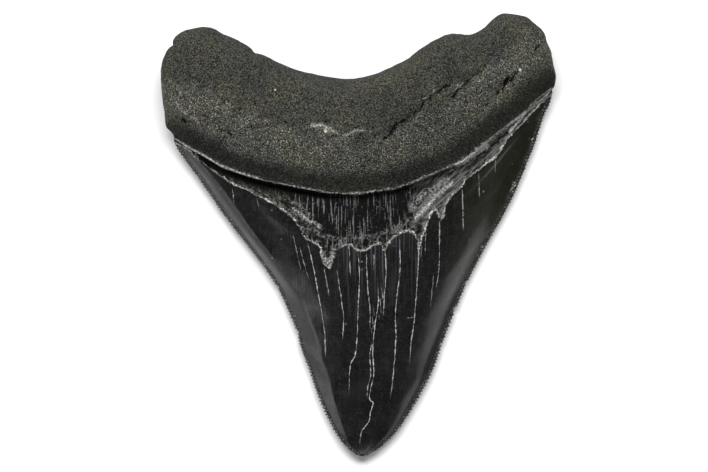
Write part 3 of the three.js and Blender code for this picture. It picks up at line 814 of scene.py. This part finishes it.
class Nodes:
    """Short names for the shader nodes that the surfaces are made of. Lengths are millimetres.
    A noise stays mostly between 0.3 and 0.7, so ramps over one mostly end there or nearer."""

    def __init__(self, name):
        self.material = bpy.data.materials.new(name)
        self.material.use_nodes = True
        self.tree = self.material.node_tree
        self.shader = self.tree.nodes["Principled BSDF"]
        self.place = self.add("ShaderNodeTexCoord").outputs["Object"]
        in_mm = {0: self.place, "Scale": 1 / MM}
        in_mm = self.add("ShaderNodeVectorMath", in_mm, operation="SCALE").outputs[0]
        self.x, self.y, _ = self.add("ShaderNodeSeparateXYZ", {0: in_mm}).outputs

    def link(self, value, socket):
        if hasattr(value, "is_output"):
            self.tree.links.new(value, socket)
        else:
            socket.default_value = value

    def add(self, kind, inputs=None, **settings):
        """A new node. inputs has values or other nodes' outputs, by the sockets they go to."""
        node = self.tree.nodes.new(kind)
        for key, value in settings.items():
            setattr(node, key, value)
        for key, value in (inputs or {}).items():
            self.link(value, node.inputs[key])
        return node

    def attribute(self, name):
        return self.add("ShaderNodeAttribute", attribute_name=name).outputs["Fac"]

    def math(self, operation, *values):
        node = self.add("ShaderNodeMath", dict(enumerate(values)), operation=operation)
        return node.outputs[0]

    def plus(self, first, second):
        return self.math("ADD", first, second)

    def minus(self, first, second):
        return self.math("SUBTRACT", first, second)

    def ramp(self, value, low, high, start=0.0, end=1.0):
        """start up to low, end from high on, and a smooth step between; low may be the greater."""
        inputs = dict(enumerate((value, low, high, start, end)))
        node = self.add("ShaderNodeMapRange", inputs, interpolation_type="SMOOTHSTEP")
        return node.outputs[0]

    def times(self, *values):
        product = values[0]
        for value in values[1:]:
            product = self.math("MULTIPLY", product, value)
        return product

    def near(self, distance, reach):
        """1 where a signed distance is 0, and 0 from reach away."""
        share = self.math("DIVIDE", self.math("ABSOLUTE", distance), reach)
        return self.ramp(share, 1, 0.4)

    def along(self, name, wobble, width):
        """How strongly the nearest crack or ridge of that name shows."""
        line = self.near(self.plus(self.attribute(name), wobble), width)
        return self.times(line, self.attribute(f"{name}_shows"))

    def mix(self, share, first, second):
        inputs = {"Factor": share, 6: first, 7: second}
        return self.add("ShaderNodeMix", inputs, data_type="RGBA").outputs[2]

    def coats(self, colour, *layers):
        """Lays colours over the first one in turn, each with its share."""
        for share, tone in layers:
            colour = self.mix(share, colour, tone)
        return colour

    def blend(self, share, first, second):
        inputs = {0: share, 2: first, 3: second}
        return self.add("ShaderNodeMix", inputs, data_type="FLOAT").outputs[0]

    def stretched(self, scale, turn=0.0):
        """The place for a texture that is drawn out along a direction turned by that angle."""
        turned = {"Vector": self.place, "Rotation": (0, 0, -math.radians(turn))}
        place = self.add("ShaderNodeMapping", turned).outputs[0]
        return self.add("ShaderNodeMapping", {"Vector": place, "Scale": scale}).outputs[0]

    def noise(self, size, detail=2.0, roughness=0.5, vector=None):
        """Noise with features of about that size."""
        inputs = {"Vector": vector or self.place, "Scale": 1 / (size * MM)}
        inputs |= {"Detail": detail, "Roughness": roughness}
        return self.add("ShaderNodeTexNoise", inputs).outputs["Fac"]

    def grains(self, size, kept):
        """Scattered round grains: how strongly one covers each place, and its random tint."""
        inputs = {"Vector": self.place, "Scale": 1 / (size * MM)}
        cells = self.add("ShaderNodeTexVoronoi", inputs)
        tint = self.add("ShaderNodeSeparateColor", {0: cells.outputs["Color"]}).outputs
        chosen = self.ramp(tint[0], 1 - kept, 1.02 - kept)
        return self.times(self.ramp(cells.outputs["Distance"], 0.42, 0.22), chosen), tint[1]


def grey(tone, warmth=0.0):
    """A colour of that tone, from the fossil's greys: warmer ones hold less blue."""
    return (tone, tone, tone * (1 - 0.8 * warmth), 1.0)


def fossil_material(name, sheen):
    """The whole tooth's surface. The root and the band shine less than the enamel, so they have
    the same material with less sheen."""
    n = Nodes(name)
    n.shader.inputs["Specular IOR Level"].default_value = sheen
    n.shader.inputs["IOR"].default_value = 1.5
    jagged = n.ramp(n.noise(0.9, 4, 0.7), 0.2, 0.8, -0.4, 0.4)
    enamel = n.plus(n.attribute("enamel"), jagged)
    rim = n.plus(n.attribute("rim"), n.ramp(n.noise(0.9), 0.2, 0.8, -0.15, 0.15))
    root, root_bump = root_surface(n, rim)
    band, band_bump = band_surface(n, rim, enamel)
    crown, crown_bump = crown_surface(n)
    line = enamel_line(n, enamel)
    crust, white = crust_shares(n)
    pale = n.math("MAXIMUM", line, crust)
    in_root = n.ramp(rim, -0.08, 0.08)
    in_band = n.ramp(enamel, -0.06, 0.06)

    colour = n.coats(
        crown,
        (in_band, band),
        (line, grey(0.62, 0.05)),
        (in_root, root),
        (n.times(rim_lip(n, rim), 0.85), grey(0.38, 0.08)),
        (crust, grey(0.38, 0.06)),
        (white, grey(0.75, 0.02)),
    )
    n.link(colour, n.shader.inputs["Base Color"])

    shine = n.blend(in_band, n.ramp(n.noise(4, 4), 0.3, 0.7, 0.17, 0.3), 0.6)
    shine = n.blend(in_root, n.blend(pale, shine, 0.8), 0.8)
    n.link(shine, n.shader.inputs["Roughness"])

    height = n.blend(in_root, n.blend(in_band, crown_bump, band_bump), root_bump)
    height = n.plus(height, n.times(pale, 0.4))
    bump = n.add("ShaderNodeBump", {"Distance": BUMP_HEIGHT, "Height": height})
    n.link(bump.outputs[0], n.shader.inputs["Normal"])
    return n.material


def enamel_line(n, enamel):
    """The enamel's upper edge is a thin pale line, broken up and wider in places."""
    width = n.ramp(n.noise(2.2), 0.34, 0.68, 0.08, 0.34)
    broken = n.ramp(n.noise(0.6, 3), 0.4, 0.56, 0.12, 1)
    whole = n.ramp(n.x, 17, 24, 0, 0.7)
    return n.times(n.near(enamel, width), n.math("MAXIMUM", broken, whole))


def rim_lip(n, rim):
    """The rim's lip is worn pale in specks."""
    width = n.ramp(n.noise(3), 0.3, 0.7, 0.2, 0.5)
    lip = n.near(n.minus(rim, 0.2), width)
    specks = n.ramp(n.noise(0.45, 3), 0.42, 0.62, 0.1, 1)
    return n.times(lip, specks, n.attribute("lingual"))


def crust_shares(n):
    """How much crust covers each place, and how much of the place is white with it."""
    crust = n.attribute("crust")
    patchy = n.ramp(n.noise(0.6, 4, 0.65), 0.4, 0.62)
    flecks = n.ramp(n.noise(0.45, 3, 0.7), 0.46, 0.6)
    cover = n.ramp(n.times(crust, n.blend(0.75, 1, patchy)), 0.12, 0.8)
    return cover, n.times(n.ramp(crust, 0.6, 0.95), flecks)


def root_surface(n, rim):
    """Dull dark grey, as if of fine dark sand with pale and black grains."""
    fine = n.noise(0.35, 2, 0.6)
    coarse = n.noise(0.9, 3, 0.6)
    broad = n.noise(9)
    sand = n.ramp(n.blend(0.22, fine, coarse), 0.42, 0.58)
    uneven = n.plus(rim, n.ramp(n.noise(5), 0.3, 0.7, -1.8, 1.8))
    pale_zone = n.times(n.ramp(rim, 2, 7), n.ramp(uneven, 16, 12))
    grains, tint = n.grains(0.36, 0.62)
    clusters = n.ramp(n.noise(1.6, 4, 0.65), 0.38, 0.58, 0.3, 1)
    pale = n.times(grains, n.ramp(tint, 0, 1, 0.2, 1), n.blend(pale_zone, 0.4, 1), clusters)
    golden, _ = n.grains(0.5, 0.06)
    black, _ = n.grains(0.44, 0.5)
    sandy = n.coats(
        n.mix(sand, grey(0.012, 0.18), grey(0.074, 0.15)),
        (n.ramp(broad, 0.42, 0.62, 0, 0.7), n.mix(sand, grey(0.013, 0.4), grey(0.062, 0.4))),
        (n.times(pale, 0.9), grey(0.46, 0.03)),
        (n.times(golden, n.ramp(rim, 7, 12, 0.1, 0.6)), grey(0.2, 0.45)),
        (n.times(black, 0.8), grey(0.006)),
    )
    # Painted shade just over the rim, where the root rolls down to it; a little above that it is
    # brightest, partly paler stone and partly a painted band of light; darker towards the back.
    tone = n.times(n.ramp(rim, 3, 7, 0.44, 1.3), n.ramp(uneven, 12, 16, 1, 0.68))
    tone = n.times(tone, n.ramp(broad, 0.3, 0.7, 0.8, 1.2))
    shaded = n.add("ShaderNodeVectorMath", {0: sandy, "Scale": tone}, operation="SCALE")

    wobble = n.ramp(n.noise(1.6), 0.2, 0.8, -0.4, 0.4)
    ridge = n.along("ridge", wobble, n.ramp(n.noise(1.2, 3), 0.35, 0.65, 0.1, 0.5))
    ridge = n.times(ridge, n.ramp(fine, 0.4, 0.6, 0.2, 1))
    crack = n.along("root_crack", wobble, n.ramp(n.noise(1.4, 3), 0.34, 0.66, 0.04, 0.42))
    crack = n.times(crack, n.ramp(n.noise(2), 0.3, 0.42))
    pit = n.plus(n.attribute("pit"), n.ramp(coarse, 0.3, 0.7, -0.25, 0.25))
    dark = n.math("MAXIMUM", crack, n.ramp(pit, 0.45, 0.75))
    colour = n.coats(
        shaded.outputs[0],
        (ridge, grey(0.34, 0.04)),
        (dark, grey(0.004)),
        *((spot_at(n, *place, radius), grey(0.5, yellow)) for place, radius, yellow in GRAINS),
    )
    height = n.plus(n.times(fine, 0.6), n.times(coarse, 0.5))
    height = n.plus(height, n.times(n.minus(pale, black), 0.3))
    return colour, n.minus(height, n.times(dark, 1.2))


def spot_at(n, x, y, radius):
    """1 inside a small round spot, placed as the outline's points are."""
    middle = outline_middle()
    across = n.minus(n.x, x - middle[0])
    along = n.minus(n.y, y - middle[1])
    away = n.math("SQRT", n.plus(n.times(across, across), n.times(along, along)))
    return n.ramp(away, radius, 0.5 * radius)


def band_surface(n, rim, enamel):
    """Black under the rim with fine upright striations, brownish towards its left end, and pale
    and drawn out along the rim at its right end."""
    lingual = n.attribute("lingual")
    grit = n.noise(0.4, 3)
    streaks = n.noise(0.34, 1, 0.5, n.stretched((1, 0.06, 0.06)))
    left_flow, right_flow = (
        n.noise(0.5, 3, 0.6, n.stretched((0.12, 1, 0.12), turn)) for turn in FLOW_TURNS
    )
    ragged = n.plus(enamel, n.ramp(n.noise(2.5, 3), 0.3, 0.7, -1.2, 1.2))
    left = n.times(n.ramp(n.x, -9, -15), n.ramp(ragged, 4.2, 2.6))
    wavy = n.plus(n.x, n.ramp(n.noise(3), 0.3, 0.7, -2, 2))
    right = n.ramp(wavy, 13, 16)
    centre = n.minus(1, n.math("MAXIMUM", left, right))
    light = n.times(n.ramp(streaks, 0.57, 0.69), n.ramp(grit, 0.34, 0.56, 0.2, 1))
    specks, tint = n.grains(0.45, 0.3)
    specks = n.times(specks, tint, n.ramp(n.noise(2, 3), 0.4, 0.6, 0.3, 1))
    halo = n.times(n.ramp(enamel, 2.2, 0.3), n.ramp(n.noise(1.2, 4, 0.65), 0.46, 0.6))
    # Painted shade under the rim: near black under its left half, where the groove is, weaker
    # under the rest, and a thin dark line under the rim at the right end.
    groove = n.times(n.ramp(rim, -2.3, -1.2), n.ramp(n.x, 0, -12, 0.4, 1))
    slot_shade = n.near(n.plus(rim, n.ramp(n.noise(3), 0.3, 0.7, 1.2, 1.9)), 0.3)
    colour = n.coats(
        grey(0.004),
        (left, n.mix(n.ramp(left_flow, 0.44, 0.62), grey(0.005, 0.3), grey(0.035, 0.2))),
        (right, n.mix(n.ramp(right_flow, 0.42, 0.6), grey(0.014, 0.1), grey(0.12, 0.08))),
        (n.times(light, centre, lingual), grey(0.15, 0.03)),
        (specks, grey(0.14, 0.05)),
        (n.times(halo, n.ramp(grit, 0.38, 0.56, 0.1, 0.8)), grey(0.2, 0.1)),
        # The painted shade under the rim.
        (n.times(groove, 0.95, lingual), grey(0.002)),
        (n.times(slot_shade, n.ramp(n.x, 26, 31), lingual, 0.95), grey(0.003)),
    )
    return colour, n.blend(0.5, streaks, grit)


def crown_surface(n):
    """Black polished enamel with white mineral in its cracks and faint streaks down it."""
    cloud = n.noise(6, 4)
    streaks = n.noise(0.6, 4, 0.65, n.stretched((1, 0.05, 0.05)))
    mottle = n.ramp(n.noise(1.6, 3, 0.6), 0.48, 0.72, 0, 0.5)
    fine_mottle = n.ramp(n.noise(0.5, 3, 0.7), 0.46, 0.7, 0, 0.6)
    # Fine pale streaks run down from the enamel's upper edge in the middle, and with them a
    # painted sheen that lightens the crown's upper middle and fades towards the tip.
    fan = n.noise(0.5, 1, 0.5, n.stretched((1, 0.03, 0.03)))
    centre = n.times(n.ramp(n.x, -8, 0), n.ramp(n.x, 18, 12))
    sheen_and_streak_zone = n.times(centre, n.ramp(n.attribute("enamel"), -17, -2))
    knob, notch = serration_shares(n)
    knob_glint_patches = n.ramp(n.noise(1.3), 0.4, 0.64, 0.2, 1)
    mineral = crack_mineral(n)
    specks, tint = n.grains(0.8, 0.015)
    colour = n.coats(
        n.mix(n.ramp(cloud, 0.35, 0.7), grey(0.003), grey(0.007)),
        (n.ramp(streaks, 0.5, 0.8, 0, 0.4), grey(0.02)),
        (mottle, grey(0.02, 0.1)),
        (fine_mottle, grey(0.02, 0.1)),
        (n.times(n.ramp(n.x, 18, 34), 0.5), grey(0.01, 0.9)),
        # The pale streaks and the painted sheen.
        (n.times(n.ramp(fan, 0.5, 0.7, 0, 0.7), sheen_and_streak_zone), (0.06, 0.066, 0.072, 1.0)),
        # Painted shade in the serrations' notches, and painted highlights, patchy, on their knobs.
        (n.times(notch, 0.9), grey(0.002)),
        (n.times(knob, knob_glint_patches, 0.8), grey(0.14, 0.1)),
        (mineral, grey(0.5, 0.02)),
        (n.times(specks, tint, 0.6), grey(0.35)),
    )
    height = n.plus(n.times(cloud, 0.3), n.times(streaks, 0.1))
    height = n.plus(height, n.minus(n.times(knob, 0.6), n.times(notch, 0.6)))
    return colour, n.minus(height, n.times(mineral, 0.2))


def serration_shares(n):
    """Where the backs of the serrations' knobs are, and where the notches beside them are."""
    # The knobs' backs get painted highlights, and the notches painted shade.
    phase = n.math("FRACT", n.attribute("knobs"))
    off_middle = n.math("ABSOLUTE", n.minus(phase, 0.5))
    by_edge = n.ramp(n.attribute("edge"), 0.95, 0.5)
    knob = n.times(n.ramp(off_middle, 0.34, 0.16), by_edge)
    return knob, n.times(n.ramp(off_middle, 0.26, 0.4), by_edge)


def crack_mineral(n):
    """The white mineral in the crown's cracks, beaded and uneven in width."""
    shown = 0
    for name in ("crack_a", "crack_b"):
        wobble = n.ramp(n.noise(1.2, 3), 0.2, 0.8, -0.08, 0.08)
        width = n.ramp(n.noise(1.6, 3), 0.34, 0.7, 0.04, 0.19)
        shown = n.math("MAXIMUM", shown, n.along(name, wobble, width))
    return n.times(shown, n.ramp(n.noise(0.8, 4, 0.7), 0.34, 0.56, 0.15, 1))


def make_floor():
    n = Nodes("floor")
    n.shader.inputs["Base Color"].default_value = grey(FLOOR_TONE)
    n.shader.inputs["Roughness"].default_value = 0.9
    n.shader.inputs["Specular IOR Level"].default_value = 0.1
    mesh = bpy.data.meshes.new("floor")
    mesh.from_pydata(FLOOR_CORNERS, [], [(0, 1, 2, 3)])
    mesh.materials.append(n.material)
    floor = add_object("floor", mesh)


def make_lights():
    """Rectangular lights that look at the tooth, and an even faint light from all round."""
    for name, place, size, radiance in LIGHTS:
        light = bpy.data.lights.new(name, "AREA")
        light.shape = "RECTANGLE"
        light.size, light.size_y = size
        light.energy = radiance * math.pi * size[0] * size[1]
        lamp = add_object(name, light)
        lamp.location = place
        look = Vector(LIGHTS_LOOK_AT) - Vector(place)
        lamp.rotation_euler = look.to_track_quat("-Z", "Y").to_euler()
    world = bpy.data.worlds.new("studio")
    world.use_nodes = True
    sky = world.node_tree.nodes["Background"].inputs
    sky["Color"].default_value = grey(1)
    sky["Strength"].default_value = SKY
    bpy.context.scene.world = world
    bpy.context.scene.view_settings.view_transform = "Standard"


def make_camera():
    """Straight above, with the photograph's frame at the photograph's own scale."""
    middle = outline_middle()
    camera = bpy.data.cameras.new("camera")
    camera.lens = LENS
    camera.sensor_width = SENSOR
    z = SCALE_Z + PHOTO_SIZE[0] * MM_PER_PIXEL * LENS / SENSOR
    x = (PHOTO_SIZE[0] / 2 - PHOTO_ZERO[0]) * MM_PER_PIXEL - middle[0]
    y = (PHOTO_ZERO[1] - PHOTO_SIZE[1] / 2) * MM_PER_PIXEL - middle[1]
    obj = add_object("camera", camera)
    obj.location = (x * MM, y * MM, z * MM)
    bpy.context.scene.camera = obj


make_camera()
make_lights()
make_floor()
tooth = make_tooth()
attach(tooth, "root")
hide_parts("tooth")
